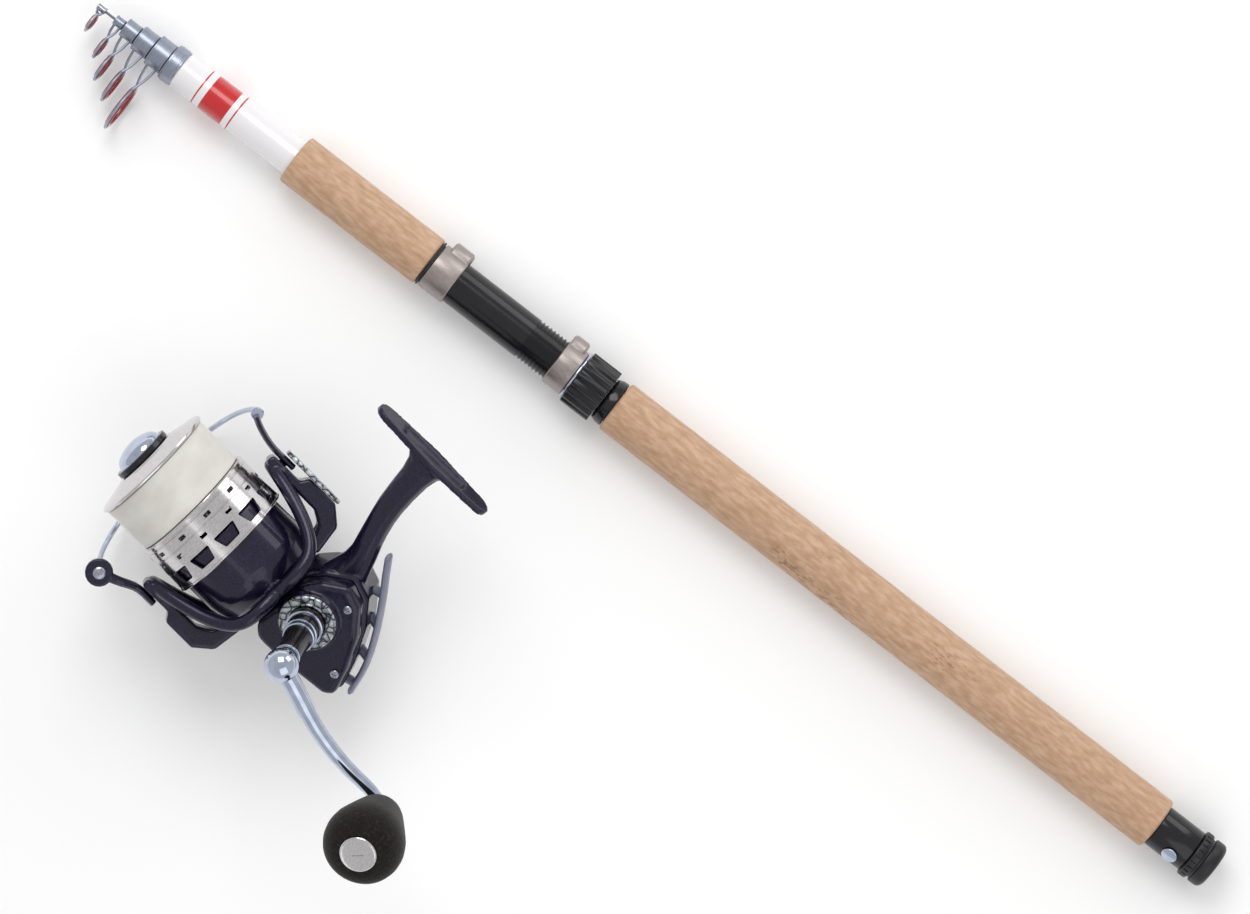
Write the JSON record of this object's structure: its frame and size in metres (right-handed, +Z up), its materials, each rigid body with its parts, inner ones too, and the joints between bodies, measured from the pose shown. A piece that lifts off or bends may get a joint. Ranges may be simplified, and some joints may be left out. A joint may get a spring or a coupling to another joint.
{
  "type": "fishing rod and reel",
  "caption": "Collapsed telescopic fishing rod with cork grips, screw reel seat and legged line guides, and a loose spinning reel with bail, geared handle and wound spool.",
  "frame": {"origin": "centre of the bounding box on the floor, below rod and reel", "axes": "+X along the rod from tip to butt, +Y from the reel towards the rod, +Z up from the floor"},
  "size_m": [0.632, 0.2492, 0.1296],
  "materials": {
    "white_paint": "gloss lacquer",
    "steel": "brushed",
    "carbon": "clear-coated fibre",
    "red_ring": "glazed",
    "cork": "sanded cork",
    "black_plastic": "moulded",
    "satin_nickel": "satin",
    "chrome": "polished",
    "reel_lacquer": "gloss lacquer",
    "grey_trim": "satin",
    "brass": "machined",
    "aluminium": "polished",
    "line": "wound nylon",
    "foam": "closed-cell foam"
  },
  "bodies": {
    "rod_butt": {"butt_blank": "white_paint", "butt_collar": "steel", "fore_grip": "cork", "hood_trim_ring": "black_plastic", "rear_grip": "cork", "rear_check": "black_plastic", "butt_sleeve": "black_plastic", "butt_rivet": "chrome", "seat_tube": "black_plastic", "front_hood": "satin_nickel"},
    "rod_section_1": {"section_1": "carbon", "guide_1": "steel", "guide_ring_1": "red_ring"},
    "rod_section_2": {"section_2": "carbon", "guide_2": "steel", "guide_ring_2": "red_ring"},
    "rod_section_3": {"section_3": "carbon", "guide_3": "steel", "guide_ring_3": "red_ring"},
    "rod_section_4": {"section_4": "carbon", "guide_4": "steel", "guide_ring_4": "red_ring"},
    "rod_tip": {"tip_section": "carbon", "guide_tip": "steel", "guide_ring_tip": "red_ring"},
    "hood": {"sliding_hood": "satin_nickel", "nut_trim_ring": "chrome"},
    "nut": {"lock_nut": "black_plastic"},
    "cap": {"butt_cap": "black_plastic"},
    "reel": {"reel_body": "reel_lacquer", "side_cover": "reel_lacquer", "rear_guard": "grey_trim", "cover_screw_1": "steel", "cover_screw_2": "steel", "boss_ring": "chrome", "drive_bearing": "steel", "pinion_bearing": "steel"},
    "crank": {"handle_shaft": "steel", "drive_gear": "brass", "handle_collar": "black_plastic", "handle_arm": "chrome", "knob_pin": "steel"},
    "knob": {"handle_knob": "foam", "knob_cap": "chrome"},
    "rotor_set": {"rotor": "reel_lacquer", "pinion": "brass", "rotor_nut": "steel", "lever_cover": "chrome"},
    "bail_set": {"bail_arm": "reel_lacquer", "bail_lever": "reel_lacquer", "bail_wire": "chrome", "roller_screw": "steel"},
    "roller": {"line_roller": "chrome"},
    "shaft": {"main_shaft": "steel", "drag_washers": "steel"},
    "spool_set": {"spool": "aluminium", "line_pack": "line"},
    "drag": {"drag_knob": "chrome"}
  },
  "joints": [
    {"name": "section_1_slide", "type": "slide", "parent": "rod_butt", "child": "rod_section_1", "axis": [-1, 0, 0], "range_m": [0, 0.48]},
    {"name": "section_2_slide", "type": "slide", "parent": "rod_section_1", "child": "rod_section_2", "axis": [-1, 0, 0], "range_m": [0, 0.48]},
    {"name": "section_3_slide", "type": "slide", "parent": "rod_section_2", "child": "rod_section_3", "axis": [-1, 0, 0], "range_m": [0, 0.48]},
    {"name": "section_4_slide", "type": "slide", "parent": "rod_section_3", "child": "rod_section_4", "axis": [-1, 0, 0], "range_m": [0, 0.48]},
    {"name": "tip_slide", "type": "slide", "parent": "rod_section_4", "child": "rod_tip", "axis": [-1, 0, 0], "range_m": [0, 0.48]},
    {"name": "hood_slide", "type": "slide", "parent": "rod_butt", "child": "hood", "axis": [-1, 0, 0], "range_m": [0, 0.014]},
    {"name": "nut_turn", "type": "hinge", "parent": "hood", "child": "nut", "pos_m": [-0.04425, 0.10973, 0.01324], "axis": [1, 0, 0], "range_deg": [0, 2521]},
    {"name": "cap_slide", "type": "slide", "parent": "rod_butt", "child": "cap", "axis": [1, 0, 0], "range_m": [0, 0.03]},
    {"name": "reel_lift", "type": "slide", "parent": "rod_butt", "child": "reel", "axis": [0, 0, 1], "range_m": [0, 0.2]},
    {"name": "handle_turn", "type": "hinge", "parent": "reel", "child": "crank", "pos_m": [-0.0728, -0.04038, 0.0463], "axis": [0.073, -0.4199, 0.9047], "continuous": true},
    {"name": "knob_spin", "type": "hinge", "parent": "crank", "child": "knob", "pos_m": [0.00646, -0.10022, 0.10057], "axis": [0.073, -0.4199, 0.9047], "continuous": true},
    {"name": "rotor_spin", "type": "hinge", "parent": "reel", "child": "rotor_set", "pos_m": [-0.07585, -0.04827, 0.04289], "axis": [0.9818, -0.1293, -0.1392], "continuous": true},
    {"name": "bail_open", "type": "hinge", "parent": "rotor_set", "child": "bail_set", "pos_m": [-0.12887, -0.04129, 0.0504], "axis": [0.1305, 0.9914, 0], "range_deg": [0, 100]},
    {"name": "roller_spin", "type": "hinge", "parent": "bail_set", "child": "roller", "pos_m": [-0.15847, -0.08782, 0.05367], "axis": [0.138, -0.0182, 0.9903], "continuous": true},
    {"name": "shaft_slide", "type": "slide", "parent": "reel", "child": "shaft", "axis": [-0.9818, 0.1293, 0.1392], "range_m": [0, 0.01]},
    {"name": "spool_slip", "type": "hinge", "parent": "shaft", "child": "spool_set", "pos_m": [-0.15439, -0.03793, 0.05402], "axis": [0.9818, -0.1293, -0.1392], "continuous": true},
    {"name": "drag_turn", "type": "hinge", "parent": "spool_set", "child": "drag", "pos_m": [-0.17501, -0.03521, 0.05695], "axis": [0.9818, -0.1293, -0.1392], "range_deg": [0, 720]}
  ],
  "couplings": [
    {"joint": "nut_turn", "follows": "hood_slide", "rad_per_m": 3141.6},
    {"joint": "rotor_spin", "follows": "handle_turn", "ratio": -5.1429}
  ]
}
